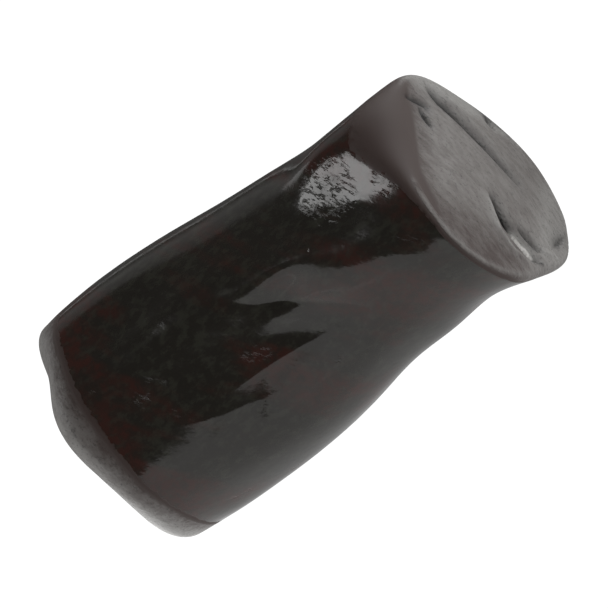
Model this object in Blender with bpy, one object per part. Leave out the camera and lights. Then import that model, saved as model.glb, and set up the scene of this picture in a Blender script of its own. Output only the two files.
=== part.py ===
"""A bite-sized piece of soft black licorice.

It is one length of a drawn rope, pinched off at both ends and lying on its side. The numbers are
millimetres, and the object is scaled to metres at the end. X runs along the rope towards the end
that shows its cut, Z is up, and the side that faces the viewer looks along -Y. A turn is an angle
round the rope: 0 faces the viewer, 90 is up and -90 is down.
"""

import math

import bmesh
import bpy
import numpy as np

METRES = 0.001

# Rope
LENGTH = 31.1  # between the two cuts, along the middle
RADIUS_CLOSED_END = 8.90
RADIUS_CUT_END = 8.84
FRONT_TURN = 38.0  # the rope is a little flat on this side and on the one behind it
FLATTENING = 0.05
TWIST = -2.6  # degrees for each millimetre along the rope

# Soft corners of the rope's section, as (corners round the rope, height, turn at the middle)
CORNERS = (
    (3, 0.10, 20.0),
    (5, 0.11, 64.0),
    (8, 0.035, 10.0),
)

# Where the side stands out or, with a height below 0, is pressed in, as (place along, turn, height,
# half length, half spread in degrees)
SWELLS = (
    (9.4, -50.0, -1.95, 4.6, 46.0),  # the long hollow under the cut end
    (8.8, -50.0, 0.70, 2.4, 20.0),  # which is less deep near the cut
    (13.5, -49.0, -0.35, 2.6, 17.0),  # its end behind the lower lip
    (-5.0, -52.0, 0.20, 5.0, 16.0),  # the full lower side
    (3.0, 126.0, -1.33, 5.5, 40.0),  # the waist along the crown
    (9.0, 128.0, -0.74, 3.0, 30.0),  # and on towards the cut
    (14.0, 128.0, -0.63, 2.5, 25.0),  # its end behind the upper lip
    (4.0, 130.0, 0.22, 6.5, 15.0),  # a soft ridge in the waist
    (-6.1, 34.4, -1.84, 10.3, 26.1),  # the long flat stretch on the viewer's side
    (2.5, 17.2, -1.39, 2.5, 21.9),  # and its lower part
    (-3.0, 0.5, -1.25, 3.9, 16.0),  # below that
    (2.5, 46.8, -0.87, 1.8, 6.3),  # a pressed place at its upper edge
    (1.3, 78.0, 0.61, 11.4, 11.2),  # the soft corner above it
    (4.5, 79.6, -1.60, 7.5, 16.4),  # the waist along the crest
    (-8.4, 82.3, -1.67, 3.9, 14.1),  # and near the closed end
    (11.1, 62.8, -0.62, 3.4, 16.4),  # a small flat that catches the softbox
    (3.4, 56.5, 0.40, 2.8, 9.7),  # the swelling below it
    (9.0, 97.4, 0.74, 2.4, 10.3),  # the swelling above it
    (10.0, 7.8, -0.09, 7.5, 14.1),  # the flare towards the lower lip
    (14.3, 34.0, -0.67, 1.5, 23.0),  # the neck behind the cut
    (17.0, 52.0, -2.90, 1.2, 24.0),  # the viewer's side of the cut, pressed flat
    (16.4, 53.0, 0.69, 1.5, 23.0),  # the skin it pushed up
    (-15.0, -1.8, 0.39, 1.0, 26.3),  # the skin that the pinch pushed up
    (-16.3, 48.0, 0.73, 1.8, 23.5),  # the shoulder of the closed end
    (16.2, 274.0, 1.22, 2.1, 18.0),  # the lower lip of the cut
    (16.5, 242.0, 0.40, 3.6, 27.0),  # its far part
    (15.5, 151.0, 0.62, 2.5, 19.0),  # the upper lip of the cut
    (16.0, 172.0, -0.80, 4.0, 24.0),  # the far side of the cut, pressed in
    (-16.3, 90.0, -1.80, 1.2, 17.0),  # the dents where the closed end was pinched off
    (-16.0, 130.0, -0.39, 2.4, 12.0),
    (-16.3, 2.0, -1.25, 1.2, 24.0),
    (-15.0, -50.0, -0.15, 1.6, 20.0),  # the drawn-in lower corner
    (-11.0, -94.0, 0.55, 5.0, 17.0),  # the belly that the piece rests on
)

# Sharp drag folds that run round the rope at a slant, as (place along, turn, height, half length,
# half width, slant in degrees for each millimetre)
FOLDS = (
    (1.8, 46.7, -0.09, 1.9, 0.9, -6.0),
    (1.7, 27.4, -0.09, 2.3, 0.9, -5.3),
    (-2.4, 11.4, -0.03, 2.0, 0.35, -5.0),
)

# Ends. Out is how far beyond half the length the middle of the cut is. A lean is how far the cut
# runs out along X for each millimetre towards the viewer's side of the rope, and for each
# millimetre towards the crown. An edge is the radius between side and cut, and its lobes are
# (turn, how much rounder, half spread in degrees).
CUT_END = {
    "side": 1,
    "out": 0.0,
    "lean": (-0.10, -0.065),
    "swell": 0.75,
    "edge": 0.50,
    "edge_lobes": ((86.0, 2.3, 18.0), (114.0, 1.0, 16.0), (-62.0, 0.5, 26.0), (200.0, 0.3, 40.0)),
}
CLOSED_END = {
    "side": -1,
    "out": 0.6,
    "lean": (0.0, -0.025),
    "swell": 0.9,
    "edge": 2.0,
    "edge_lobes": ((128.0, -1.5, 26.0), (-50.0, -0.5, 24.0)),
}

# Creases in an end, as (points in the end's plane, depth, half width). A point is how far it is
# towards the viewer's side, and towards the crown.
CUT_CREASES = (
    (((-3.0, 6.1), (-2.8, 5.0), (-3.1, 3.4), (-3.3, 1.3), (-3.5, -0.8), (-3.7, -2.4)), 0.62, 0.34),
    (((-3.9, 6.4), (-3.9, 4.6), (-4.1, 2.6), (-4.3, 0.8)), -0.30, 0.36),  # the rough lip beyond it
    (((0.0, 6.6), (-0.6, 5.9), (-0.9, 5.4), (-0.7, 4.9)), 0.38, 0.20),
    (((-0.2, 5.4), (0.2, 4.7), (0.5, 3.9)), 0.42, 0.18),
    (((-6.9, 3.0), (-6.8, 2.3), (-6.6, 1.4)), 0.35, 0.20),
    (((0.6, -2.0), (0.9, -3.0), (1.0, -3.8), (0.8, -4.8), (0.5, -6.0), (0.0, -7.3)), 1.25, 0.26),
    (((1.1, -1.7), (1.9, -2.9), (2.5, -4.0), (2.3, -5.4), (1.4, -6.8)), -0.30, 0.34),  # its raised side
    (((1.0, -4.3), (0.5, -5.7), (0.0, -6.8)), -0.50, 0.14),  # the flap in it
    (((-0.1, -4.6), (-0.5, -5.6), (-0.9, -6.8)), 0.50, 0.18),
    (((-1.3, -6.6), (-1.2, -7.0), (-1.8, -7.4)), -0.25, 0.30),
    (((-2.6, -7.0), (-4.8, -6.9)), 0.25, 0.40),
)
CLOSED_CREASES = (
    (((-5.8, 1.6), (-2.2, 0.5), (1.6, 0.9), (5.4, -0.4)), 0.60, 0.42),
    (((-1.6, 1.0), (-2.8, 3.6), (-2.6, 6.2)), 0.38, 0.34),
    (((2.2, 0.6), (3.4, -2.6), (3.0, -5.8)), 0.42, 0.36),
    (((-3.8, -1.4), (-4.4, -3.4)), 0.24, 0.26),
)

# Where the soft piece has settled on the table
SETTLED = 0.6
FLAT_WITHIN = 0.02  # of the table, where thinning left the underside a little above it

# Fineness
FACE_CELLS = 88
SIDE_RINGS = 120
EDGE_RINGS = 9
RIM_STEPS = 4  # after which a leaning cut's rim no longer moves
RIM_FADE = 0.04  # of the radius, over which the relief of a cut fades in
TRIANGLES = 11200

LICORICE_COLOUR = (0.012, 0.008, 0.006, 1.0)
LICORICE_ROUGHNESS = 0.16


def smooth_bump(distance):
    """1 at no distance, falling smoothly to 0 over about two half widths."""
    return np.exp(-0.5 * distance * distance)


def sharp_bump(distance):
    """1 at no distance, falling from a sharp crest to 0 over about three half widths."""
    return np.exp(-np.abs(distance))


def turn_between(turn, other):
    """The angle from one turn to another, the short way round, in degrees."""
    return (turn - other + 180.0) % 360.0 - 180.0


def rope_radius(along, turn):
    """The rope's radius at a place along it and a turn round it."""
    share = np.clip(along / LENGTH + 0.5, 0.0, 1.0)
    radius = RADIUS_CLOSED_END + (RADIUS_CUT_END - RADIUS_CLOSED_END) * share
    radius = radius * (1.0 - FLATTENING * np.cos(np.radians(turn - FRONT_TURN)) ** 2)
    for corners, height, corner_turn in CORNERS:
        swing = np.radians(corners * (turn - corner_turn - TWIST * along))
        radius = radius + height * np.cos(swing)
    for place, middle, height, half_length, half_spread in SWELLS:
        radius = radius + height * smooth_bump((along - place) / half_length) * smooth_bump(
            turn_between(turn, middle) / half_spread
        )
    for place, middle, height, half_length, half_width, slant in FOLDS:
        run = along - place
        across = np.radians(turn_between(turn, middle + slant * run)) * radius
        radius = radius + height * smooth_bump(run / half_length) * sharp_bump(across / half_width)
    return radius


def section_point(along, turn, inset=0.0):
    """Y and Z of the point at that turn, moved in towards the middle by the inset."""
    reach = rope_radius(along, turn) - inset
    angle = np.radians(turn)
    return -reach * np.cos(angle), reach * np.sin(angle)


def plane_measures(y, z):
    """How far a point of an end is towards the viewer's side, and towards the crown."""
    facing = math.radians(FRONT_TURN)
    front = -y * math.cos(facing) + z * math.sin(facing)
    crown = y * math.sin(facing) + z * math.cos(facing)
    return front, crown


def cut_plane(end, y, z):
    """X of an end's flat cut at Y and Z."""
    front, crown = plane_measures(y, z)
    lean_front, lean_crown = end["lean"]
    return end["side"] * (LENGTH / 2.0 + end["out"] + lean_front * front + lean_crown * crown)


def edge_radius(end, turn):
    """How round the edge between the side and the cut is."""
    radius = end["edge"] + 0.0 * turn
    for middle, more, spread in end["edge_lobes"]:
        radius = radius + more * smooth_bump(turn_between(turn, middle) / spread)
    return radius


def crease_depth(creases, front, crown):
    """How deep the creases are at a point of an end's plane."""
    depth = np.zeros_like(front)
    for points, most, half_width in creases:
        pieces = list(zip(points[:-1], points[1:]))
        nearest = np.full_like(front, np.inf)
        run = np.zeros_like(front)
        for number, (start, stop) in enumerate(pieces):
            step = (stop[0] - start[0], stop[1] - start[1])
            share = ((front - start[0]) * step[0] + (crown - start[1]) * step[1]) / (
                step[0] ** 2 + step[1] ** 2
            )
            share = np.clip(share, 0.0, 1.0)
            gap = np.hypot(front - start[0] - share * step[0], crown - start[1] - share * step[1])
            closer = gap < nearest
            nearest = np.where(closer, gap, nearest)
            run = np.where(closer, (number + share) / len(pieces), run)
        taper = np.sin(math.pi * np.clip(0.06 + 0.88 * run, 0.0, 1.0)) ** 0.6
        depth = depth + most * taper * sharp_bump(nearest / half_width)
    return depth


def end_rim(end, turn):
    """Where the rounded edge meets the cut."""
    x = end["side"] * LENGTH / 2.0
    for _ in range(RIM_STEPS):
        y, z = section_point(x, turn, edge_radius(end, turn))
        x = cut_plane(end, y, z)
    return x, y, z


def edge_rings(end, turns):
    """The rounded edge's rings, from the side to the cut."""
    radius = edge_radius(end, turns)
    rim_x = end_rim(end, turns)[0]
    rings = []
    for step in range(EDGE_RINGS + 1):
        bend = 0.5 * math.pi * step / EDGE_RINGS
        inset = radius * (1.0 - math.cos(bend))
        back = end["side"] * radius * (1.0 - math.sin(bend))
        x = cut_plane(end, *section_point(rim_x - back, turns, inset)) - back
        rings.append(np.stack([x, *section_point(x, turns, inset)], axis=1))
    return rings


def face_grid():
    """A square grid stretched to a disc of radius 1: the points, their grid, and its rim in order."""
    line = np.linspace(-1.0, 1.0, FACE_CELLS + 1)
    across, up = np.meshgrid(line, line, indexing="ij")
    disc = np.stack(
        [across * np.sqrt(1.0 - up * up / 2.0), up * np.sqrt(1.0 - across * across / 2.0)], axis=-1
    )
    last = FACE_CELLS
    rim = [(last, j) for j in range(last)]
    rim += [(i, last) for i in range(last, 0, -1)]
    rim += [(0, j) for j in range(last, 0, -1)]
    rim += [(i, 0) for i in range(last)]
    return disc, rim


def face_points(end, disc, creases):
    """The cut's points, from a disc of radius 1."""
    reach = np.minimum(np.hypot(disc[..., 0], disc[..., 1]), 1.0)
    rim = end_rim(end, np.degrees(np.arctan2(disc[..., 1], disc[..., 0])))
    y, z = rim[1] * reach, rim[2] * reach
    front, crown = plane_measures(y, z)
    out = end["swell"] * (1.0 - reach**2) ** 1.5 - crease_depth(creases, front, crown)
    x = cut_plane(end, y, z) + end["side"] * out * np.clip((1.0 - reach) / RIM_FADE, 0.0, 1.0)
    return np.stack([x, y, z], axis=-1)


def licorice_mesh():
    """The closed surface of the piece, in millimetres."""
    disc, rim = face_grid()
    turns = np.degrees([math.atan2(disc[i, j, 1], disc[i, j, 0]) for i, j in rim])
    closed_edge = edge_rings(CLOSED_END, turns)
    cut_edge = edge_rings(CUT_END, turns)
    rings = closed_edge[::-1]
    start, stop = closed_edge[0][:, 0], cut_edge[0][:, 0]
    for step in range(1, SIDE_RINGS):
        x = start + (stop - start) * step / SIDE_RINGS
        rings.append(np.stack([x, *section_point(x, turns)], axis=1))
    rings += cut_edge

    shape = bmesh.new()
    ring_verts = [[shape.verts.new(point) for point in ring] for ring in rings]
    for near, far in zip(ring_verts[:-1], ring_verts[1:]):
        for k in range(len(turns)):
            after = (k + 1) % len(turns)
            shape.faces.new((near[k], near[after], far[after], far[k]))
    for end, creases, edge in (
        (CLOSED_END, CLOSED_CREASES, ring_verts[0]),
        (CUT_END, CUT_CREASES, ring_verts[-1]),
    ):
        points = face_points(end, disc, creases)
        grid = {place: edge[k] for k, place in enumerate(rim)}
        for i in range(1, FACE_CELLS):
            for j in range(1, FACE_CELLS):
                grid[i, j] = shape.verts.new(points[i, j])
        for i in range(FACE_CELLS):
            for j in range(FACE_CELLS):
                corners = [grid[i, j], grid[i + 1, j], grid[i + 1, j + 1], grid[i, j + 1]]
                shape.faces.new(corners)
    bmesh.ops.recalc_face_normals(shape, faces=shape.faces)
    settle(shape)
    bmesh.ops.triangulate(shape, faces=shape.faces)
    return shape


def settle(shape):
    """Presses the underside flat where the piece rests, with the table at Z 0."""
    table = min(vert.co.z for vert in shape.verts) + SETTLED
    for vert in shape.verts:
        vert.co.z = max(vert.co.z - table, 0.0)


def licorice_material():
    """Glossy, nearly black licorice with a brown cast."""
    material = bpy.data.materials.new("black_licorice")
    material.use_nodes = True
    shader = material.node_tree.nodes["Principled BSDF"]
    shader.inputs["Base Color"].default_value = LICORICE_COLOUR
    shader.inputs["Roughness"].default_value = LICORICE_ROUGHNESS
    shader.inputs["Metallic"].default_value = 0.0
    return material


def centred(mesh):
    """Moves the mesh so that the middle of its box is over the origin."""
    points = np.array([vert.co for vert in mesh.vertices])
    middle = (points.min(axis=0) + points.max(axis=0)) / 2.0
    for vert in mesh.vertices:
        vert.co.x -= middle[0]
        vert.co.y -= middle[1]
        if vert.co.z < FLAT_WITHIN:
            vert.co.z = 0.0
        vert.co *= METRES


def build_piece():
    """The one solid: a fine surface, thinned where it is nearly flat."""
    fine = bpy.data.meshes.new("licorice_fine")
    shape = licorice_mesh()
    fine_triangles = len(shape.faces)
    shape.to_mesh(fine)
    shape.free()
    piece = bpy.data.objects.new("licorice_piece", fine)
    bpy.context.scene.collection.objects.link(piece)
    thin = piece.modifiers.new("thin", "DECIMATE")
    thin.ratio = TRIANGLES / fine_triangles
    graph = bpy.context.evaluated_depsgraph_get()
    mesh = bpy.data.meshes.new_from_object(piece.evaluated_get(graph))
    piece.modifiers.clear()
    piece.data = mesh
    centred(mesh)
    mesh.shade_smooth()
    mesh.materials.append(licorice_material())
    return piece


def main():
    for leftover in list(bpy.data.objects):
        bpy.data.objects.remove(leftover)
    build_piece()


main()
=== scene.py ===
# A bite-sized piece of soft black licorice: its finish, light and camera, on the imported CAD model.
# Lengths are millimetres until the mesh is finished, and then metres. X runs along the rope towards
# the end that shows its cut. A turn is an angle round the rope: 0 points along -Y, 90 up.
import math
import bpy
import numpy as np
from mathutils import Matrix, Vector


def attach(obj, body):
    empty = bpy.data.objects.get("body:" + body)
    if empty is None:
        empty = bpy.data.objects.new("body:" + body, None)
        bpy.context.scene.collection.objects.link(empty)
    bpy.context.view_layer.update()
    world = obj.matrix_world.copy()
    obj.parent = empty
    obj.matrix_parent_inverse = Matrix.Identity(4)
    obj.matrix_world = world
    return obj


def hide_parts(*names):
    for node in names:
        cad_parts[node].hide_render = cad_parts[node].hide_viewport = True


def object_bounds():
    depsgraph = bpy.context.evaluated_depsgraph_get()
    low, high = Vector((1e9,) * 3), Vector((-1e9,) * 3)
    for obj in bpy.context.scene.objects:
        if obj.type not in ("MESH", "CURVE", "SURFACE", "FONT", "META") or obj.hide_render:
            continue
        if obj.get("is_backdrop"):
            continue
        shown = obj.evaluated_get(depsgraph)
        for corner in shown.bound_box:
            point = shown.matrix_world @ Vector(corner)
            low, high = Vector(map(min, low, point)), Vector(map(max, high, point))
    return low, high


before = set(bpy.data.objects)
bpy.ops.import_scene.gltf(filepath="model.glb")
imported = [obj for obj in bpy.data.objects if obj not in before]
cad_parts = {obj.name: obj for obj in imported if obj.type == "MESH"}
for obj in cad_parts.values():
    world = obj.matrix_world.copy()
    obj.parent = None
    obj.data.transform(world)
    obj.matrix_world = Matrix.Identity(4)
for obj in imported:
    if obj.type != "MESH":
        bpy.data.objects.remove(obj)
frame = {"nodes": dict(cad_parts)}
cadLow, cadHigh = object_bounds()
millimetre = 0.001
print("frame loaded:", ", ".join(frame["nodes"]))


def toLinear(hexColour):
    # sRGB hex to the linear colour that a shader takes
    channels = [int(hexColour[k:k + 2], 16) / 255 for k in (1, 3, 5)]
    return tuple(c / 12.92 if c <= 0.04045 else ((c + 0.055) / 1.055) ** 2.4 for c in channels) + (1.0,)


def addNode(tree, kind, inputs=None, **settings):
    # a node with its settings, and each input set to a value or linked from a socket
    node = tree.nodes.new(kind)
    for name, value in settings.items():
        setattr(node, name, value)
    for name, value in (inputs or {}).items():
        if isinstance(value, bpy.types.NodeSocket):
            tree.links.new(value, node.inputs[name])
        else:
            node.inputs[name].default_value = value
    return node


# The piece

rope = {
    "length": 31.1,
    "radiusClosedEnd": 8.90,
    "radiusCutEnd": 8.84,
    "frontTurn": 38.0,  # the rope is a little flat on this side and on the one behind it
    "flattening": 0.05,  # share of the radius
    "twist": -2.6,  # degrees for each millimetre along the rope
    "corners": (  # corners round the rope, height, turn at the middle
        (3, 0.10, 20.0),
        (5, 0.11, 64.0),
        (8, 0.035, 10.0),
    ),
    "swells": (  # place along, turn, height, half length, half spread in degrees
        (9.4, -50.0, -1.95, 4.6, 46.0),  # the long hollow under the cut end
        (8.8, -50.0, 0.70, 2.4, 20.0),  # which is less deep near the cut
        (13.5, -49.0, -0.35, 2.6, 17.0),  # its end behind the lower lip
        (-5.0, -52.0, 0.20, 5.0, 16.0),  # the full lower side
        (3.0, 126.0, -1.33, 5.5, 40.0),  # the waist along the crown
        (9.0, 128.0, -0.74, 3.0, 30.0),  # and on towards the cut
        (14.0, 128.0, -0.63, 2.5, 25.0),  # its end behind the upper lip
        (4.0, 130.0, 0.22, 6.5, 15.0),  # a soft ridge in the waist
        (-6.0, 36.3, -1.88, 9.1, 24.5),  # the long flat stretch on the viewer's side
        (1.9, 20.8, -1.31, 2.9, 18.3),  # and its lower part
        (-2.6, 0.7, -1.18, 3.0, 15.3),  # below that
        (2.5, 46.9, -0.79, 1.8, 6.2),  # a pressed place at its upper edge
        (0.9, 78.7, 0.63, 12.1, 11.6),  # the soft corner above it
        (4.5, 78.8, -1.57, 7.5, 16.4),  # the waist along the crest
        (-9.0, 83.3, -1.35, 3.6, 11.7),  # and near the closed end
        (11.2, 62.5, -0.61, 3.4, 15.9),  # a small flat that catches the softbox
        (3.2, 56.2, 0.40, 3.0, 10.3),  # the swelling below it
        (9.0, 97.4, 0.74, 2.4, 10.3),  # the swelling above it
        (11.5, 5.6, 0.06, 4.8, 9.2),  # the flare towards the lower lip
        (14.3, 34.0, -0.67, 1.5, 23.0),  # the neck behind the cut
        (17.0, 52.0, -2.90, 1.2, 24.0),  # the viewer's side of the cut, pressed flat
        (16.4, 53.0, 0.69, 1.5, 23.0),  # the skin it pushed up
        (-15.0, -1.8, 0.39, 1.0, 26.3),  # the skin that the pinch pushed up
        (-16.3, 48.0, 0.73, 1.8, 23.5),  # the shoulder of the closed end
        (16.2, 274.0, 1.22, 2.1, 18.0),  # the lower lip of the cut
        (16.5, 242.0, 0.40, 3.6, 27.0),  # its far part
        (15.5, 151.0, 0.62, 2.5, 19.0),  # the upper lip of the cut
        (16.0, 172.0, -0.80, 4.0, 24.0),  # the far side of the cut, pressed in
        (-16.3, 90.0, -1.80, 1.2, 17.0),  # the dents where the closed end was pinched off
        (-16.0, 130.0, -0.39, 2.4, 12.0),
        (-16.3, 2.0, -1.25, 1.2, 24.0),
        (-15.0, -50.0, -0.15, 1.6, 20.0),  # the drawn-in lower corner
        (-11.0, -94.0, 0.55, 5.0, 17.0),  # the belly that the piece rests on
    ),
    "folds": (  # place along, turn, height, half length, half width, slant in degrees a millimetre
        (2.0, 42.5, -0.17, 3.1, 0.50, -5.6),  # the long drag fold below the crest
        (1.4, 12.7, -0.06, 1.4, 1.68, -4.4),
        (-0.5, 14.4, 0.15, 2.6, 0.50, -0.7),  # ridges that the die left beside it
        (2.3, 28.2, 0.11, 1.5, 1.70, -8.0),
        (0.2, 19.5, 0.13, 3.4, 1.70, -4.8),
        (-5.6, 10.0, 0.16, 2.2, 1.33, -3.2),
    ),
    "settled": 0.6,  # how far the soft piece has settled on the table
}

cutEnd = {
    "side": 1,
    "out": 0.0,  # how far beyond half the length its middle is
    "lean": (-0.10, -0.065),  # how far out along X for each millimetre towards the front, and the crown
    "swell": 0.75,  # how far its middle stands out
    "edge": 0.50,  # radius between the side and the cut
    "edgeLobes": (  # turn, how much larger that radius is, half spread in degrees
        (86.0, 2.3, 18.0),  # the soft upper corner
        (114.0, 1.0, 16.0),
        (-62.0, 0.5, 26.0),
        (200.0, 0.3, 40.0),
    ),
    "edgeTone": 0.3,  # how soon along the edge the skin turns into the cut
    "edgeHighlight": 0.55,  # painted highlight along the rounded edge
    "light": 0.80,  # how light the cut is
    "shades": (  # direction in the end's plane, where it starts and is full, how much lighter
        (49.6, 3.0, 5.5, -0.58),  # the smooth brown corner at the top
        (-35.0, 2.6, 6.0, -0.40),  # painted shade towards the lower edge
        (140.0, 5.4, 6.8, 0.50),  # painted light on the far lip
        (-112.0, 4.6, 6.6, 0.30),  # painted light on the lower lip
    ),
    "paintedLightLines": (  # painted light and shade along lines: points in the end's plane, how much lighter, half width
        (((0.7, -4.4), (0.45, -5.6), (0.05, -6.9)), 1.9, 0.12),  # painted highlight on the flap in the deep crease
        (((1.1, -1.7), (1.9, -2.7), (2.4, -3.8), (2.3, -5.1), (1.1, -6.8)), 0.40, 0.17),  # painted light along its side
        (((-3.8, 7.0), (-5.6, 5.8), (-6.5, 3.9), (-7.1, 2.2), (-7.9, 0.1)), -0.8, 0.17),  # painted shade along the far rim
        (((0.0, 6.6), (-0.6, 5.9), (-0.9, 5.4), (-0.7, 4.9)), -0.8, 0.17),  # painted shade in the two short creases
        (((-0.2, 5.4), (0.2, 4.7), (0.5, 3.9)), -0.8, 0.17),
        (((-3.0, 6.1), (-2.8, 5.0), (-3.1, 3.4)), -0.6, 0.30),  # painted shade where the groove starts
        (((-3.0, -7.0), (-5.0, -6.9)), -0.35, 0.30),  # painted shade in the dent in the lower lip
    ),
    "creaseFull": 0.55,  # mm deep, where the painted crease shade is darkest
    "creases": (  # points in the end's plane, depth, half width; deeper creases get more painted shade
        # the long groove, and the rough lip beyond it
        (((-3.0, 6.1), (-2.8, 5.0), (-3.1, 3.4), (-3.3, 1.3), (-3.5, -0.8), (-3.7, -2.4)), 0.62, 0.34),
        (((-3.9, 6.4), (-3.9, 4.6), (-4.1, 2.6), (-4.3, 0.8)), -0.30, 0.36),
        # the two short creases, and a nick near the far rim
        (((0.0, 6.6), (-0.6, 5.9), (-0.9, 5.4), (-0.7, 4.9)), 0.38, 0.20),
        (((-0.2, 5.4), (0.2, 4.7), (0.5, 3.9)), 0.42, 0.18),
        (((-6.9, 3.0), (-6.8, 2.3), (-6.6, 1.4)), 0.35, 0.20),
        # the deep crease, its raised side and the flap in it
        (((0.6, -2.0), (0.9, -3.0), (1.0, -3.8), (0.8, -4.8), (0.5, -6.0), (0.0, -7.3)), 1.25, 0.26),
        (((1.1, -1.7), (1.9, -2.9), (2.5, -4.0), (2.3, -5.4), (1.4, -6.8)), -0.30, 0.34),
        (((0.8, -4.4), (0.55, -5.6), (0.15, -6.9)), -0.40, 0.16),
        # a smaller one beside it, the bump at their lower end and the dent in the lower lip
        (((-0.1, -4.6), (-0.5, -5.6), (-0.9, -6.8)), 0.50, 0.18),
        (((-1.3, -6.6), (-1.2, -7.0), (-1.8, -7.4)), -0.25, 0.30),
        (((-2.6, -7.0), (-4.8, -6.9)), 0.25, 0.40),
    ),
}

closedEnd = {  # the same measures, for the end that was pinched off
    "side": -1,
    "out": 0.6,
    "lean": (0.0, -0.025),
    "swell": 0.9,
    "edge": 2.0,
    "edgeLobes": ((128.0, -1.5, 26.0), (-50.0, -0.5, 24.0)),
    "edgeTone": 0.8,
    "edgeHighlight": 0.2,
    "light": 1.12,
    "dullLitBand": (12.9, 15.4),  # from and to here the skin turns dull as on the cut, and is painted lighter: painted light on the rounded end
    "shades": ((-83.0, 4.5, 7.5, 0.42),),  # the lower corner is made lighter
    "paintedLightLines": (),
    "creaseFull": 0.55,
    "creases": (  # where the skin was drawn together, with painted shade in these creases
        (((-5.8, 1.6), (-2.2, 0.5), (1.6, 0.9), (5.4, -0.4)), 0.60, 0.42),
        (((-1.6, 1.0), (-2.8, 3.6), (-2.6, 6.2)), 0.38, 0.34),
        (((2.2, 0.6), (3.4, -2.6), (3.0, -5.8)), 0.42, 0.36),
        (((-3.8, -1.4), (-4.4, -3.4)), 0.24, 0.26),
    ),
}

carving = {
    "creaseThin": 0.06,  # how far from its very tip a crease starts, as a share of its length
    "creaseBlunt": 0.6,  # the smaller, the sooner it is full
    "domePower": 1.5,  # how the middle of a cut falls towards its rim
    "rimShare": 0.04,  # of a cut's radius, where dome and creases fade out
    "tones": (0.30, 2.4),  # the darkest and the lightest that a cut gets
    "rubbedAndHighlight": (0.7, 0.14),  # where along the rounded edge the painted highlight lies, and half width
}
fineness = {"sideRings": 132, "faceCells": 104, "edgeRings": 12, "rimPasses": 4}  # of the mesh


def bump(distance):
    # 1 in the middle, falling smoothly to 0 over about two half widths
    return np.exp(-0.5 * distance * distance)


def turnBetween(turn, other):
    return (turn - other + 180.0) % 360.0 - 180.0


def ropeRadius(along, turn):
    share = np.clip(along / rope["length"] + 0.5, 0.0, 1.0)
    radius = rope["radiusClosedEnd"] + (rope["radiusCutEnd"] - rope["radiusClosedEnd"]) * share
    radius = radius * (1.0 - rope["flattening"] * np.cos(np.radians(turn - rope["frontTurn"])) ** 2)
    for corners, height, cornerTurn in rope["corners"]:
        swing = corners * (turn - cornerTurn - rope["twist"] * along)
        radius = radius + height * np.cos(np.radians(swing))
    for place, middle, height, halfLength, halfSpread in rope["swells"]:
        across = bump(turnBetween(turn, middle) / halfSpread)
        radius = radius + height * bump((along - place) / halfLength) * across
    for place, middle, height, halfLength, halfWidth, slant in rope["folds"]:
        run = along - place
        across = np.radians(turnBetween(turn, middle + slant * run)) * radius
        radius = radius + height * bump(run / halfLength) * np.exp(-np.abs(across) / halfWidth)
    return radius


def sectionPoint(along, turn, inset=0.0):
    reach = ropeRadius(along, turn) - inset
    angle = np.radians(turn)
    return -reach * np.cos(angle), reach * np.sin(angle)


def planeMeasures(y, z):
    # how far a point of an end is towards the viewer's side, and towards the crown
    facing = math.radians(rope["frontTurn"])
    return -y * math.cos(facing) + z * math.sin(facing), y * math.sin(facing) + z * math.cos(facing)


def cutPlane(end, y, z):
    front, crown = planeMeasures(y, z)
    leaning = end["lean"][0] * front + end["lean"][1] * crown
    return end["side"] * (rope["length"] / 2 + end["out"] + leaning)


def edgeRadius(end, turn):
    radius = np.full_like(turn, end["edge"])
    for middle, more, spread in end["edgeLobes"]:
        radius = radius + more * bump(turnBetween(turn, middle) / spread)
    return radius


def creaseDepth(creases, front, crown):
    depth = np.zeros_like(front)
    for points, most, halfWidth in creases:
        pieces = list(zip(points[:-1], points[1:]))
        nearest = np.full_like(front, np.inf)
        run = np.zeros_like(front)
        for number, (start, stop) in enumerate(pieces):
            step = (stop[0] - start[0], stop[1] - start[1])
            share = (front - start[0]) * step[0] + (crown - start[1]) * step[1]
            share = np.clip(share / (step[0] ** 2 + step[1] ** 2), 0.0, 1.0)
            gap = np.hypot(front - start[0] - share * step[0], crown - start[1] - share * step[1])
            closer = gap < nearest
            nearest = np.where(closer, gap, nearest)
            run = np.where(closer, (number + share) / len(pieces), run)
        thin = carving["creaseThin"]
        taper = np.sin(math.pi * (thin + (1.0 - 2.0 * thin) * run)) ** carving["creaseBlunt"]
        depth = depth + most * taper * np.exp(-nearest / halfWidth)
    return depth


def endRim(end, turn):
    # where the rounded edge meets the cut
    x = end["side"] * rope["length"] / 2
    for _ in range(fineness["rimPasses"]):
        y, z = sectionPoint(x, turn, edgeRadius(end, turn))
        x = cutPlane(end, y, z)
    return x, y, z


def endEdge(end, turns):
    # the rounded edge's rings, from the side to the cut
    radius = edgeRadius(end, turns)
    plane = endRim(end, turns)[0]
    rings = []
    for step in range(fineness["edgeRings"] + 1):
        bend = 0.5 * math.pi * step / fineness["edgeRings"]
        inset, back = radius * (1.0 - math.cos(bend)), end["side"] * radius * (1.0 - math.sin(bend))
        x = cutPlane(end, *sectionPoint(plane - back, turns, inset)) - back
        rings.append(np.stack([x, *sectionPoint(x, turns, inset)], axis=1))
    return rings


def endFace(end, disc):
    # the cut's points, from a disc of radius 1
    reach = np.minimum(np.hypot(disc[..., 0], disc[..., 1]), 1.0)
    rim = endRim(end, np.degrees(np.arctan2(disc[..., 1], disc[..., 0])))
    y, z = rim[1] * reach, rim[2] * reach
    dome = end["swell"] * (1.0 - reach**2) ** carving["domePower"]
    out = dome - creaseDepth(end["creases"], *planeMeasures(y, z))
    fade = np.clip((1.0 - reach) / carving["rimShare"], 0.0, 1.0)
    x = cutPlane(end, y, z) + end["side"] * out * fade
    return np.stack([x, y, z], axis=-1)


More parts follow.
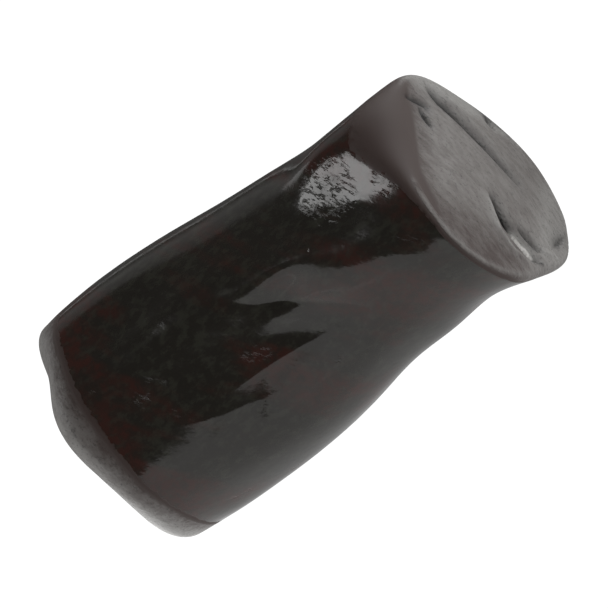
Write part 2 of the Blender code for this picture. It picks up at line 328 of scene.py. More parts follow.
def cutLook(end, y, z):
    # how light a cut is, with painted light on raised parts, lips and lines, and how much painted shade
    # it has in a crease
    front, crown = planeMeasures(y, z)
    depth = creaseDepth(end["creases"], front, crown)
    change = creaseDepth(end["paintedLightLines"], front, crown)
    # raised parts and the lighter lines get painted light
    light = end["light"] + np.maximum(-depth, 0.0) + np.maximum(change, 0.0)
    # lighter or darker over broad parts of the cut: its own brown corner, and painted light and painted
    # shade
    for direction, start, full, lighter in end["shades"]:
        out = front * math.cos(math.radians(direction)) + crown * math.sin(math.radians(direction))
        share = np.clip((out - start) / (full - start), 0.0, 1.0)
        light = light + lighter * share * share * (3.0 - 2.0 * share)
    return np.clip(light, *carving["tones"]), np.clip(depth / end["creaseFull"] - change, 0.0, 1.0)


def cutDisc():
    # a square grid bent to a disc of radius 1, and the order of the cells along its rim
    cells = fineness["faceCells"]
    line = np.linspace(-1.0, 1.0, cells + 1)
    across, up = np.meshgrid(line, line, indexing="ij")
    disc = np.stack([across * np.sqrt(1 - up * up / 2), up * np.sqrt(1 - across * across / 2)], axis=-1)
    rim = [(cells, j) for j in range(cells)] + [(i, cells) for i in range(cells, 0, -1)]
    rim += [(0, j) for j in range(cells, 0, -1)] + [(i, 0) for i in range(cells)]
    return disc, rim


def ropeRings(turns):
    # rings round the rope, from the rim of the closed end to the rim of the cut end
    closedRings, cutRings = endEdge(closedEnd, turns), endEdge(cutEnd, turns)
    start, stop = closedRings[0][:, 0], cutRings[0][:, 0]
    rings = closedRings[::-1]
    for step in range(1, fineness["sideRings"]):
        x = start + (stop - start) * step / fineness["sideRings"]
        rings.append(np.stack([x, *sectionPoint(x, turns)], axis=1))
    return np.stack(rings + cutRings)


def ringLooks(rings, turns):
    # what cutLook says, for the rings: not cut at all on the drawn side
    onCut, paintedCreaseShade = np.zeros(rings.shape[:2]), np.zeros(rings.shape[:2])
    last = fineness["edgeRings"]
    highlightAt, highlightWidth = carving["rubbedAndHighlight"]
    for ring in range(last + 1):
        share = ring / last
        for end, number in ((cutEnd, len(rings) - 1 - last + ring), (closedEnd, last - ring)):
            light, creaseShade = cutLook(end, *rings[number].T[1:])
            tight = np.minimum(end["edge"] / edgeRadius(end, turns), 1.0) ** 2
            # a painted highlight along the rounded edge
            light = light + end["edgeHighlight"] * tight * bump((share - highlightAt) / highlightWidth)
            onCut[number] = share ** end["edgeTone"] * light
            paintedCreaseShade[number] = share * creaseShade
    # the band on the closed end: dull, and painted lighter as painted light
    bandFrom, bandTo = closedEnd["dullLitBand"]
    bandShare = np.clip((-rings[..., 0] - bandFrom) / (bandTo - bandFrom), 0.0, 1.0)
    light = cutLook(closedEnd, rings[..., 1], rings[..., 2])[0]
    onCut = np.maximum(onCut, light * bandShare ** closedEnd["edgeTone"])
    return onCut.ravel(), paintedCreaseShade.ravel()


def licoriceMesh():
    # rings for the drawn side and the rounded edges, and a grid for each end
    disc, rim = cutDisc()
    turns = np.degrees([math.atan2(disc[i, j, 1], disc[i, j, 0]) for i, j in rim])
    rings = ropeRings(turns)
    ringCount, around = rings.shape[:2]
    points = [rings.reshape(-1, 3)]
    looks = [ringLooks(rings, turns)]
    faces = []
    for low in range(0, (ringCount - 1) * around, around):
        for k in range(around):
            after = (k + 1) % around
            faces.append((low + k, low + around + k, low + around + after, low + after))
    cells = fineness["faceCells"]
    used = ringCount * around
    for end, ring in ((closedEnd, 0), (cutEnd, ringCount - 1)):
        grid = np.zeros((cells + 1, cells + 1), dtype=int)
        for k, place in enumerate(rim):
            grid[place] = ring * around + k
        grid[1:cells, 1:cells] = used + np.arange((cells - 1) ** 2).reshape(cells - 1, cells - 1)
        used += (cells - 1) ** 2
        points.append(endFace(end, disc)[1:cells, 1:cells].reshape(-1, 3))
        looks.append(cutLook(end, *points[-1].T[1:]))
        for i in range(cells):
            for j in range(cells):
                corners = (grid[i, j], grid[i + 1, j], grid[i + 1, j + 1], grid[i, j + 1])
                faces.append(corners if end["side"] == -1 else corners[::-1])
    points = np.concatenate(points)
    points[:, 2] = np.maximum(points[:, 2] - points[:, 2].min() - rope["settled"], 0.0)
    mesh = bpy.data.meshes.new("licoriceRope")
    mesh.from_pydata(points.tolist(), [], [tuple(int(v) for v in face) for face in faces])
    # onCut: how far a point is cut, times the cut's tone with its painted light; paintedCreaseShade:
    # painted shade in the creases
    for name, values in zip(("onCut", "paintedCreaseShade"), zip(*looks)):
        layer = mesh.attributes.new(name, "FLOAT", "POINT")
        layer.data.foreach_set("value", np.concatenate(values))
    mesh.shade_smooth()
    mesh.validate()
    return mesh


relief = {  # heights are from the middle to the top, in millimetres
    "Slant": math.radians(-4.4),  # how far the drag marks turn round the rope for each millimetre
    "Streak Length": 7.0,
    "Streak Width": 1.3,
    "Streak Height": 0.008,
    "Dimple Size": 0.75,
    "Dimple Height": 0.006,
    "Dent Size": 6.0,
    "Dent Height": 0.03,
    "Cut Grain Size": 0.9,
    "Cut Grain Height": 0.012,
    "Rest Height": 1.2,  # below this it fades out, so that the piece rests flat
    "Seed": 3.0,
}


def reliefTree(material):
    # drag marks, dimples and dents on the drawn side, a fine grain on the cuts, and none where it rests
    tree = bpy.data.node_groups.new("licoriceRelief", "GeometryNodeTree")
    tree.interface.new_socket("Geometry", in_out="INPUT", socket_type="NodeSocketGeometry")
    tree.interface.new_socket("Geometry", in_out="OUTPUT", socket_type="NodeSocketGeometry")
    for name, value in relief.items():
        socket = tree.interface.new_socket(name, in_out="INPUT", socket_type="NodeSocketFloat")
        socket.default_value = value
    tree.interface.new_socket("Material", in_out="INPUT", socket_type="NodeSocketMaterial")
    given = addNode(tree, "NodeGroupInput").outputs

    place = addNode(tree, "GeometryNodeInputPosition").outputs["Position"]
    parts = addNode(tree, "ShaderNodeSeparateXYZ", {0: place}).outputs
    onCut = addNode(tree, "GeometryNodeInputNamedAttribute", {"Name": "onCut"}, data_type="FLOAT")
    onCut = onCut.outputs["Attribute"]
    turned = {0: parts["X"], 1: given["Slant"]}
    turned = addNode(tree, "ShaderNodeMath", turned, operation="MULTIPLY").outputs[0]
    unwound = {"Vector": place, "Angle": turned}
    unwound = addNode(tree, "ShaderNodeVectorRotate", unwound, rotation_type="X_AXIS").outputs[0]

    heights = {}
    for name, where, length, width, detail in (
        ("Streak", unwound, "Streak Length", "Streak Width", 2.0),
        ("Dimple", place, "Dimple Size", "Dimple Size", 1.0),
        ("Dent", place, "Dent Size", "Dent Size", 0.0),
        ("Cut Grain", place, "Cut Grain Size", "Cut Grain Size", 3.0),
    ):
        size = {0: given[length], 1: given[width], 2: given[width]}
        size = addNode(tree, "ShaderNodeCombineXYZ", size).outputs[0]
        spot = addNode(tree, "ShaderNodeVectorMath", {0: where, 1: size}, operation="DIVIDE").outputs[0]
        spread = {"Vector": spot, "W": given["Seed"], "Scale": 1.0, "Detail": detail}
        noise = addNode(tree, "ShaderNodeTexNoise", spread, noise_dimensions="4D").outputs["Fac"]
        swing = {0: noise, 1: 2.0, 2: -1.0}
        swing = addNode(tree, "ShaderNodeMath", swing, operation="MULTIPLY_ADD").outputs[0]
        swing = {0: swing, 1: given[name + " Height"]}
        heights[name] = addNode(tree, "ShaderNodeMath", swing, operation="MULTIPLY").outputs[0]
    side = {0: heights["Streak"], 1: heights["Dimple"]}
    side = addNode(tree, "ShaderNodeMath", side, operation="ADD").outputs[0]
    fine = {0: onCut, 2: side, 3: heights["Cut Grain"]}
    fine = addNode(tree, "ShaderNodeMix", fine, data_type="FLOAT").outputs[0]
    total = addNode(tree, "ShaderNodeMath", {0: fine, 1: heights["Dent"]}, operation="ADD").outputs[0]
    clear = {"Value": parts["Z"], "From Min": 0.0, "From Max": given["Rest Height"]}
    clear = addNode(tree, "ShaderNodeMapRange", clear).outputs[0]
    total = addNode(tree, "ShaderNodeMath", {0: total, 1: clear}, operation="MULTIPLY").outputs[0]
    normal = addNode(tree, "GeometryNodeInputNormal").outputs["Normal"]
    push = {0: normal, "Scale": total}
    push = addNode(tree, "ShaderNodeVectorMath", push, operation="SCALE").outputs[0]
    moved = {"Geometry": given["Geometry"], "Offset": push}
    moved = addNode(tree, "GeometryNodeSetPosition", moved).outputs[0]
    real = addNode(tree, "GeometryNodeRealizeInstances", {0: moved}).outputs[0]
    dressed = {"Geometry": real, "Material": given["Material"]}
    dressed = addNode(tree, "GeometryNodeSetMaterial", dressed).outputs[0]
    addNode(tree, "NodeGroupOutput", {0: dressed})
    return tree


# Glazed soft licorice: molasses and flour starch, cooked nearly black, drawn through a warm die and
# glazed with oil. The skin is wet-looking and smooth, the eye sees mostly what it mirrors; where it is
# thin it lets a little red-brown through, and the cuts are duller because the blade drags them.
licoriceFinish = {
    "black": "#24211c",
    "soot": "#2f2e27",  # the greyer mottles
    "brown": "#391f19",
    "rim": "#3c2e2a",  # where a cut begins
    "cut": "#8f8d8a",  # at its lightest, where painted light falls on raised edges and lips
    "flap": "#e2dfdb",  # painted highlight on the thin torn flap, nearly white
    "creaseShade": "#0c0a09",
    # painted shade in the creases
    "skinRoughness": (0.09, 0.17),
    "cutRoughness": 0.42,
    "cornerRoughness": 0.66,  # where the soft skin is drawn round the cut's upper corner
    "ior": 1.49,
    "peelHeight": 0.0036,  # mm, the fine waviness of the glaze
    "dragHeight": 0.0018,
    "pitDepth": 0.05,
    "pocked": (  # mm, the middle and the reach of the pocked places
        (9.2, -1.5, 15.2, 2.7),
        (13.5, -3.3, 14.7, 1.4),
        (-9.5, -5.0, 13.1, 0.9),
        (-7.6, -4.8, 13.0, 0.6),
        (-12.0, -3.6, 15.0, 0.7),
        (-9.5, -3.0, 15.0, 0.4),
        (6.3, -4.1, 14.2, 0.4),
        (3.1, -7.1, 8.3, 0.7),
        (-2.6, -7.1, 7.0, 0.4),
        (-8.2, -7.6, 5.6, 0.4),
    ),
    "pockedFull": 0.4,  # share of the reach up to which the pits are at their deepest
    "gritHeight": 0.020,
    "bladeHeight": 0.024,  # the blade's marks on the cut
    "patterns": (  # name, where it runs, size along X, Y and Z in mm, detail, roughness
        ("ragged", "whole", (0.5, 0.5, 0.5), 2.0, 0.5),  # the border between skin and cut
        ("patches", "drawn", (11.0, 5.0, 5.0), 3.0, 0.6),
        ("mottle", "whole", (0.6, 0.6, 0.6), 2.0, 0.5),
        ("soot", "whole", (0.9, 0.6, 0.6), 3.0, 0.65),
        ("rubbedAndHighlight", "drawn", (2.4, 1.1, 1.1), 3.0, 0.5),  # where the gloss is rubbed
        ("peel", "whole", (0.38, 0.38, 0.38), 2.0, 0.5),
        ("drag", "drawn", (3.2, 0.34, 0.34), 2.0, 0.5),
        ("clusters", "drawn", (5.7, 2.6, 2.6), 1.0, 0.5),
        ("pits", "drawn", (0.60, 0.44, 0.44), 3.0, 0.7),
        ("grit", "whole", (0.22, 0.22, 0.22), 3.0, 0.5),
        ("blade", "cut", (0.5, 0.45, 1.3), 3.0, 0.6),
        ("specks", "cut", (0.24, 0.18, 0.26), 2.0, 0.7),
    ),
    "ramps": {  # from where to where a pattern or a measure counts, and how much if not from 0 to 1
        "ragged": {"From Min": 0.3, "From Max": 0.7, "To Min": -0.06, "To Max": 0.06},
        "isCut": {"From Min": 0.06, "From Max": 0.20},
        "atEnd": {"From Min": 7.0, "From Max": 14.0, "To Max": 0.12},  # mm from the middle
        "browner": {"From Min": 0.47, "From Max": 0.64},
        "mottle": {"From Min": 0.35, "From Max": 0.65, "To Min": 0.35},
        "soot": {"From Min": 0.45, "From Max": 0.66},
        "blade": {"From Min": 0.3, "From Max": 0.7, "To Min": -0.13, "To Max": 0.13},
        "torn": {"From Min": 0.32, "From Max": 0.42},  # not in a dark soft corner
        "tone": {"From Min": 0.25, "From Max": 1.25},
        "specks": {"From Min": 0.54, "From Max": 0.72, "To Max": 0.45},
        # where the painted light runs high enough to turn into the painted highlight of the flap
        "flap": {"From Min": 1.4, "From Max": 2.0},
        "rubbedAndHighlight": {"From Min": 0.3, "From Max": 0.7},
        "waves": {"From Min": 0.2, "From Max": 0.8},
        "clusters": {"From Min": 0.67, "From Max": 0.85},
        "pits": {"From Min": 0.53, "From Max": 0.66},
    },
}


softly = {"interpolation_type": "SMOOTHSTEP"}


def patternNoises(tree, whole, along):
    # the noise of each pattern, drawn out along the rope, along the blade or in no direction
    turned = {0: along, 1: relief["Slant"]}
    turned = addNode(tree, "ShaderNodeMath", turned, operation="MULTIPLY").outputs[0]
    places = {"whole": whole}
    for name, angle in (("drawn", turned), ("cut", math.radians(rope["frontTurn"]))):
        around = {"Vector": whole, "Angle": angle}
        around = addNode(tree, "ShaderNodeVectorRotate", around, rotation_type="X_AXIS")
        places[name] = around.outputs[0]
    noises = {}
    for name, where, size, detail, roughness in licoriceFinish["patterns"]:
        sized = {0: places[where], 1: size}
        sized = addNode(tree, "ShaderNodeVectorMath", sized, operation="DIVIDE").outputs[0]
        spread = {"Vector": sized, "Scale": 1.0, "Detail": detail, "Roughness": roughness}
        noises[name] = addNode(tree, "ShaderNodeTexNoise", spread).outputs["Fac"]
    return noises


def skinColour(tree, pattern, along):
    # black with greyer mottles, and red-brown patches drawn out along the rope and towards the ends
    finish, ramps = licoriceFinish, licoriceFinish["ramps"]
    atEnd = addNode(tree, "ShaderNodeMath", {0: along}, operation="ABSOLUTE").outputs[0]
    atEnd = {"Value": atEnd, **ramps["atEnd"]}
    atEnd = addNode(tree, "ShaderNodeMapRange", atEnd, **softly).outputs[0]
    browner = {0: pattern["patches"], 1: atEnd}
    browner = addNode(tree, "ShaderNodeMath", browner, operation="ADD").outputs[0]
    browner = {"Value": browner, **ramps["browner"]}
    browner = addNode(tree, "ShaderNodeMapRange", browner, **softly).outputs[0]
    mottled = {"Value": pattern["mottle"], **ramps["mottle"]}
    mottled = addNode(tree, "ShaderNodeMapRange", mottled, **softly).outputs[0]
    browner = addNode(tree, "ShaderNodeMath", {0: browner, 1: mottled}, operation="MULTIPLY").outputs[0]
    sooty = {"Value": pattern["soot"], **ramps["soot"]}
    sooty = addNode(tree, "ShaderNodeMapRange", sooty, **softly).outputs[0]
    skin = {0: sooty, 6: toLinear(finish["black"]), 7: toLinear(finish["soot"])}
    skin = addNode(tree, "ShaderNodeMix", skin, data_type="RGBA").outputs[2]
    skin = {0: browner, 6: skin, 7: toLinear(finish["brown"])}
    return addNode(tree, "ShaderNodeMix", skin, data_type="RGBA").outputs[2]


def cutColour(tree, pattern, onCut, torn):
    # brown where the cut begins, lighter with the blade's streaks and with painted light, with painted
    # shade in the creases, and dark in specks where the blade tore it, and a painted highlight, nearly
    # white, on the flap
    finish, ramps = licoriceFinish, licoriceFinish["ramps"]
    streaks = {"Value": pattern["blade"], **ramps["blade"]}
    streaks = addNode(tree, "ShaderNodeMapRange", streaks, **softly).outputs[0]
    streaks = addNode(tree, "ShaderNodeMath", {0: streaks, 1: torn}, operation="MULTIPLY").outputs[0]
    tone = {"Value": onCut, **ramps["tone"]}
    tone = addNode(tree, "ShaderNodeMapRange", tone).outputs[0]
    tone = addNode(tree, "ShaderNodeMath", {0: tone, 1: streaks}, operation="ADD").outputs[0]
    cut = {0: tone, 6: toLinear(finish["rim"]), 7: toLinear(finish["cut"])}
    cut = addNode(tree, "ShaderNodeMix", cut, data_type="RGBA").outputs[2]
    paintedCreaseShade = addNode(tree, "ShaderNodeAttribute", attribute_name="paintedCreaseShade").outputs["Fac"]
    specks = {"Value": pattern["specks"], **ramps["specks"]}
    specks = addNode(tree, "ShaderNodeMapRange", specks, **softly).outputs[0]
    dark = {0: specks, 1: torn, 2: paintedCreaseShade}
    dark = addNode(tree, "ShaderNodeMath", dark, operation="MULTIPLY_ADD").outputs[0]
    cut = {0: dark, 6: cut, 7: toLinear(finish["creaseShade"])}
    cut = addNode(tree, "ShaderNodeMix", cut, data_type="RGBA").outputs[2]
    # the painted highlight on the flap, nearly white
    flap = {"Value": onCut, **ramps["flap"]}
    flap = addNode(tree, "ShaderNodeMapRange", flap).outputs[0]
    cut = {0: flap, 6: cut, 7: toLinear(finish["flap"])}
    return addNode(tree, "ShaderNodeMix", cut, data_type="RGBA").outputs[2]


def fineHeight(tree, pattern, whole, isCut, torn):
    # in millimetres: waves, drag marks and pits on the skin, grit and blade marks on the cuts
    finish, ramps = licoriceFinish, licoriceFinish["ramps"]
    waves = {}
    for name in ("peel", "drag", "grit", "blade"):
        wave = {"Value": pattern[name], "To Max": finish[name + "Height"], **ramps["waves"]}
        waves[name] = addNode(tree, "ShaderNodeMapRange", wave, **softly).outputs[0]
    skin = {0: waves["peel"], 1: waves["drag"]}
    skin = addNode(tree, "ShaderNodeMath", skin, operation="ADD").outputs[0]
    cut = {0: waves["grit"], 1: waves["blade"]}
    cut = addNode(tree, "ShaderNodeMath", cut, operation="ADD").outputs[0]
    cut = addNode(tree, "ShaderNodeMath", {0: cut, 1: torn}, operation="MULTIPLY").outputs[0]

    # the pits are small and in clusters, most of them in the pocked places
    pitted = {"Value": pattern["clusters"], **ramps["clusters"]}
    pitted = addNode(tree, "ShaderNodeMapRange", pitted, **softly).outputs[0]
    for *middle, reach in finish["pocked"]:
        gap = {0: whole, 1: middle}
        gap = addNode(tree, "ShaderNodeVectorMath", gap, operation="DISTANCE").outputs["Value"]
        near = {"Value": gap, "From Min": reach, "From Max": finish["pockedFull"] * reach}
        near = addNode(tree, "ShaderNodeMapRange", near, **softly).outputs[0]
        pitted = {0: pitted, 1: near}
        pitted = addNode(tree, "ShaderNodeMath", pitted, operation="MAXIMUM").outputs[0]
    pits = {"Value": pattern["pits"], **ramps["pits"]}
    pits = addNode(tree, "ShaderNodeMapRange", pits, **softly).outputs[0]
    pits = addNode(tree, "ShaderNodeMath", {0: pits, 1: pitted}, operation="MULTIPLY").outputs[0]
    skin = {0: pits, 1: -finish["pitDepth"], 2: skin}
    skin = addNode(tree, "ShaderNodeMath", skin, operation="MULTIPLY_ADD").outputs[0]
    height = {0: isCut, 2: skin, 3: cut}
    return addNode(tree, "ShaderNodeMix", height, data_type="FLOAT").outputs[0]


def licoriceMaterial():
    finish, ramps = licoriceFinish, licoriceFinish["ramps"]
    material = bpy.data.materials.new("glazedBlackLicorice")
    material.use_nodes = True
    tree = material.node_tree
    shader = tree.nodes["Principled BSDF"]
    place = addNode(tree, "ShaderNodeTexCoord").outputs["Object"]
    whole = {0: place, "Scale": 1 / millimetre}
    whole = addNode(tree, "ShaderNodeVectorMath", whole, operation="SCALE").outputs[0]
    along = addNode(tree, "ShaderNodeSeparateXYZ", {0: whole}).outputs["X"]
    pattern = patternNoises(tree, whole, along)

    # what is cut, with a slightly ragged border, and what the blade tore
    onCut = addNode(tree, "ShaderNodeAttribute", attribute_name="onCut").outputs["Fac"]
    frayed = {"Value": pattern["ragged"], **ramps["ragged"]}
    frayed = addNode(tree, "ShaderNodeMapRange", frayed).outputs[0]
    frayed = addNode(tree, "ShaderNodeMath", {0: onCut, 1: frayed}, operation="ADD").outputs[0]
    isCut = {"Value": frayed, **ramps["isCut"]}
    isCut = addNode(tree, "ShaderNodeMapRange", isCut, **softly).outputs[0]
    torn = {"Value": onCut, **ramps["torn"]}
    torn = addNode(tree, "ShaderNodeMapRange", torn, **softly).outputs[0]

    colour = {0: isCut, 6: skinColour(tree, pattern, along), 7: cutColour(tree, pattern, onCut, torn)}
    colour = addNode(tree, "ShaderNodeMix", colour, data_type="RGBA").outputs[2]
    tree.links.new(colour, shader.inputs["Base Color"])

    # gloss: smooth skin, duller cuts, and dullest round the soft corner
    smoothest, roughest = finish["skinRoughness"]
    rubbedAndHighlight = {"Value": pattern["rubbedAndHighlight"], "To Min": smoothest, "To Max": roughest, **ramps["rubbedAndHighlight"]}
    rubbedAndHighlight = addNode(tree, "ShaderNodeMapRange", rubbedAndHighlight, **softly).outputs[0]
    dull = {0: torn, 2: finish["cornerRoughness"], 3: finish["cutRoughness"]}
    dull = addNode(tree, "ShaderNodeMix", dull, data_type="FLOAT").outputs[0]
    gloss = {0: isCut, 2: rubbedAndHighlight, 3: dull}
    gloss = addNode(tree, "ShaderNodeMix", gloss, data_type="FLOAT").outputs[0]
    tree.links.new(gloss, shader.inputs["Roughness"])
    shader.inputs["IOR"].default_value = finish["ior"]

    height = fineHeight(tree, pattern, whole, isCut, torn)
    relieved = {"Height": height, "Distance": millimetre, "Strength": 1.0}
    relieved = addNode(tree, "ShaderNodeBump", relieved).outputs[0]
    tree.links.new(relieved, shader.inputs["Normal"])
    return material


def makeLicorice():
    material = licoriceMaterial()
    shape = bpy.data.objects.new("licoriceShape", licoriceMesh())
    bpy.context.scene.collection.objects.link(shape)
    tree = reliefTree(material)
    maker = shape.modifiers.new("relief", "NODES")
    maker.node_group = tree
    for socket in tree.interface.items_tree:
        if socket.in_out == "INPUT" and socket.name in relief:
            maker[socket.identifier] = relief[socket.name]
        elif socket.in_out == "INPUT" and socket.name == "Material":
            maker[socket.identifier] = material
    mesh = bpy.data.meshes.new_from_object(shape.evaluated_get(bpy.context.evaluated_depsgraph_get()))
    bpy.data.objects.remove(shape)
    points = np.empty(len(mesh.vertices) * 3)
    mesh.vertices.foreach_get("co", points)
    points = points.reshape(-1, 3)
    middle = (points.min(axis=0) + points.max(axis=0)) / 2
    points[:, :2] -= middle[:2]
    points[:, 2] = np.maximum(points[:, 2], 0.0)
    mesh.vertices.foreach_set("co", (points * millimetre).ravel())
    mesh.update()
    piece = bpy.data.objects.new("licorice", mesh)
    bpy.context.scene.collection.objects.link(piece)
    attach(piece, "root")
    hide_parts("licorice_piece")
    print("licorice:", len(mesh.vertices), "points,", len(mesh.loop_triangles), "triangles")


makeLicorice()


# Camera, on a long lens, rolled because the piece leans in the photograph and lies flat here

cameraLook = {
    "azimuth": 29.57,  # degrees round from -Y towards +X
    "elevation": 34.5,
    "roll": -53.3,
    "distance": 420.0,
    "lens": 378.0,
    "sensor": 36.0,
    "clipStart": 0.01,  # metres
    "aim": (0.86, -0.05),  # right and up of the piece's middle in the picture
}


def makeCamera():
    azimuth, elevation, roll = (math.radians(cameraLook[k]) for k in ("azimuth", "elevation", "roll"))
    level = Vector((math.cos(azimuth), math.sin(azimuth), 0.0))
    outward = Vector((math.sin(azimuth), -math.cos(azimuth), 0.0))
    back = outward * math.cos(elevation) + Vector((0.0, 0.0, math.sin(elevation)))
    right = level * math.cos(roll) + back.cross(level) * math.sin(roll)
    up = back.cross(right)
    aside, above = cameraLook["aim"]
    aim = (cadLow + cadHigh) / 2 + (right * aside + up * above) * millimetre
    data = bpy.data.cameras.new("camera")
    data.lens, data.sensor_width = cameraLook["lens"], cameraLook["sensor"]
    data.clip_start = cameraLook["clipStart"]
    camera = bpy.data.objects.new("camera", data)
    turn = Matrix((right, up, back)).transposed().to_4x4()
    camera.matrix_world = Matrix.Translation(aim + back * cameraLook["distance"] * millimetre) @ turn
    bpy.context.scene.collection.objects.link(camera)
    bpy.context.scene.camera = camera


makeCamera()


# Light table and lamps, in metres and radiances. None of the lamps and cards shows to the camera.

studio = {
    "tableHalf": 6.0,
    "tableColour": "#303030",
    "tableRoughness": 0.7,
    "tableShown": 1.05,  # the white light table, to the camera
    "tableMirrored": 0.80,  # and in the gloss, well in front of the piece
    "tableNear": 0.46,  # close to the piece, where it is in its shade
    "tableNearReach": (0.0045, 0.0115),
    "tableNearOval": (0.45, 1.0, 1.0),  # the shade is longer along X
    "tableLeft": 1.6,  # beyond the closed end
    "tableLeftPlace": (-0.024, -0.004, 0.0),
    "tableLeftReach": (0.012, 0.004),
    "tableBehind": 0.04,  # behind the piece, and where that starts along Y
    "tableBehindStart": (-0.004, 0.006),
    "tableFarBehind": 0.5,  # farther back, and where it gets as light as this
    "tableFarReach": (0.15, 0.45),
    "tableBeside": (0.016, 0.030),  # from here along X the piece shades nothing
    "room": 0.09,
    "roomLow": 0.06,  # near the horizon
    "wall": 0.30,  # the pale wall behind, and the heights where it starts and ends
    "wallHeights": (0.06, 0.30, 0.68, 0.76),
    "wallEdge": (0.55, 0.68),  # how far round to the back it starts
    "softboxFrom": (-0.64, -0.02, 0.77),
    "softboxDistance": 0.6,
    "softboxSize": (0.17, 0.225),
    "softboxRadiance": 3.7,
    "cardPlace": -0.6,
    "cardHeight": 0.51,
    "cardReach": (-3.6, 0.7),
    "cardRadiance": 0.62,
    "farCardFrom": (0.5, 0.8, 0.25),
    "farCardDistance": 0.6,
    "farCardSize": (0.5, 0.4),
    "farCardRadiance": 2.3,
    "fillFrom": (0.95, 0.0, 0.25),
    "fillDistance": 0.8,
    "fillSize": (0.5, 0.5),
    "fillRadiance": 2.2,
}


def makePanel(name, middle, towards, size, radiance):
    # an area lamp of an even radiance, which the camera doesn't see
    data = bpy.data.lights.new(name, "AREA")
    data.shape = "RECTANGLE"
    data.size, data.size_y = size
    data.energy = radiance * 4 * size[0] * size[1]
    panel = bpy.data.objects.new(name, data)
    facing = (towards - middle).to_track_quat("-Z", "Y").to_matrix().to_4x4()
    panel.matrix_world = Matrix.Translation(middle) @ facing
    panel.visible_camera = False
    bpy.context.scene.collection.objects.link(panel)


def tableMaterial():
    # white acrylic lit from below; in the gloss it is darker close to the piece and behind it
    material = bpy.data.materials.new("whiteLightTable")
    material.use_nodes = True
    tree = material.node_tree
    shader = tree.nodes["Principled BSDF"]
    shader.inputs["Base Color"].default_value = toLinear(studio["tableColour"])
    shader.inputs["Roughness"].default_value = studio["tableRoughness"]
    shader.inputs["Emission Color"].default_value = (1, 1, 1, 1)
    place = addNode(tree, "ShaderNodeTexCoord").outputs["Object"]
    oval = {"Vector": place, "Scale": studio["tableNearOval"]}
    oval = addNode(tree, "ShaderNodeMapping", oval).outputs[0]
    away = addNode(tree, "ShaderNodeVectorMath", {0: oval}, operation="LENGTH").outputs["Value"]
    parts = addNode(tree, "ShaderNodeSeparateXYZ", {0: place}).outputs
    start, stop = studio["tableNearReach"]
    near = {"Value": away, "From Min": start, "From Max": stop}
    near.update({"To Min": studio["tableNear"], "To Max": studio["tableMirrored"]})
    near = addNode(tree, "ShaderNodeMapRange", near, interpolation_type="SMOOTHSTEP").outputs[0]
    start, stop = studio["tableFarReach"]
    behind = {"Value": parts["Y"], "From Min": start, "From Max": stop}
    behind.update({"To Min": studio["tableBehind"], "To Max": studio["tableFarBehind"]})
    behind = addNode(tree, "ShaderNodeMapRange", behind).outputs[0]
    start, stop = studio["tableBehindStart"]
    isBehind = {"Value": parts["Y"], "From Min": start, "From Max": stop}
    isBehind = addNode(tree, "ShaderNodeMapRange", isBehind).outputs[0]
    shaded = {0: isBehind, 2: near, 3: behind}
    shaded = addNode(tree, "ShaderNodeMix", shaded, data_type="FLOAT").outputs[0]
    start, stop = studio["tableBeside"]
    beside = {"Value": parts["X"], "From Min": start, "From Max": stop}
    beside = addNode(tree, "ShaderNodeMapRange", beside).outputs[0]
    mixed = {0: beside, 2: shaded, 3: studio["tableMirrored"]}
    mixed = addNode(tree, "ShaderNodeMix", mixed, data_type="FLOAT").outputs[0]
    left = {0: place, 1: studio["tableLeftPlace"]}
    left = addNode(tree, "ShaderNodeVectorMath", left, operation="DISTANCE").outputs["Value"]
    start, stop = studio["tableLeftReach"]
    left = {"Value": left, "From Min": start, "From Max": stop}
    left = addNode(tree, "ShaderNodeMapRange", left).outputs[0]
    mirrored = {0: left, 2: mixed, 3: studio["tableLeft"]}
    mirrored = addNode(tree, "ShaderNodeMix", mirrored, data_type="FLOAT").outputs[0]
    shown = addNode(tree, "ShaderNodeLightPath").outputs["Is Camera Ray"]
    strength = {0: shown, 2: mirrored, 3: studio["tableShown"]}
    strength = addNode(tree, "ShaderNodeMix", strength, data_type="FLOAT").outputs[0]
    tree.links.new(strength, shader.inputs["Emission Strength"])
    return material


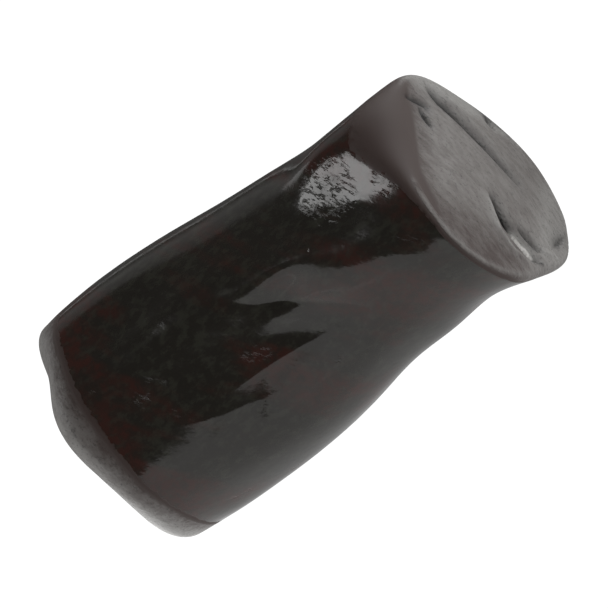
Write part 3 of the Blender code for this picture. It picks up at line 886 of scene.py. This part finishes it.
def makeRoom():
    # a dim room, a little lighter near the horizon, and white where the camera sees past the table
    world = bpy.data.worlds.new("room")
    world.use_nodes = True
    tree = world.node_tree
    direction = addNode(tree, "ShaderNodeTexCoord").outputs["Generated"]
    parts = addNode(tree, "ShaderNodeSeparateXYZ", {0: direction}).outputs
    wallLow, wallFull, wallTop, wallEnd = studio["wallHeights"]
    rise = {"Value": parts["Z"], "From Min": wallLow, "From Max": wallFull}
    rise.update({"To Min": studio["roomLow"], "To Max": studio["wall"]})
    rise = addNode(tree, "ShaderNodeMapRange", rise).outputs[0]
    above = {"Value": parts["Z"], "From Min": wallTop, "From Max": wallEnd}
    above = addNode(tree, "ShaderNodeMapRange", above).outputs[0]
    wall = {0: above, 2: rise, 3: studio["room"]}
    wall = addNode(tree, "ShaderNodeMix", wall, data_type="FLOAT").outputs[0]
    start, stop = studio["wallEdge"]
    isBehind = {"Value": parts["Y"], "From Min": start, "From Max": stop}
    isBehind = addNode(tree, "ShaderNodeMapRange", isBehind).outputs[0]
    dim = {0: isBehind, 2: studio["room"], 3: wall}
    dim = addNode(tree, "ShaderNodeMix", dim, data_type="FLOAT").outputs[0]
    shown = addNode(tree, "ShaderNodeLightPath").outputs["Is Camera Ray"]
    strength = {0: shown, 2: dim, 3: studio["tableShown"]}
    strength = addNode(tree, "ShaderNodeMix", strength, data_type="FLOAT").outputs[0]
    background = tree.nodes["Background"]
    background.inputs["Color"].default_value = (1, 1, 1, 1)
    tree.links.new(strength, background.inputs["Strength"])
    bpy.context.scene.world = world
    bpy.context.scene.view_settings.view_transform = "Standard"


def makeStudio():
    half = studio["tableHalf"]
    corners = [(-half, -half, 0), (half, -half, 0), (half, half, 0), (-half, half, 0)]
    mesh = bpy.data.meshes.new("table")
    mesh.from_pydata(corners, [], [(0, 1, 2, 3)])
    mesh.materials.append(tableMaterial())
    table = bpy.data.objects.new("table", mesh)
    bpy.context.scene.collection.objects.link(table)
    table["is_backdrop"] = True

    middle = (cadLow + cadHigh) / 2
    for name in ("softbox", "farCard", "fill"):
        spot = middle + Vector(studio[name + "From"]).normalized() * studio[name + "Distance"]
        makePanel(name, spot, middle, studio[name + "Size"], studio[name + "Radiance"])
    start, stop = studio["cardReach"]
    height = studio["cardHeight"]
    spot = Vector((studio["cardPlace"], (start + stop) / 2, height / 2))
    makePanel("sideCard", spot, spot + Vector((1, 0, 0)), (stop - start, height), studio["cardRadiance"])
    makeRoom()


makeStudio()
print("camera and studio made")

newLow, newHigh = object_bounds()
for name, size in (("cad", cadHigh - cadLow), ("visual", newHigh - newLow)):
    print("size of the", name, "in mm:", [round(v / millimetre, 2) for v in size])
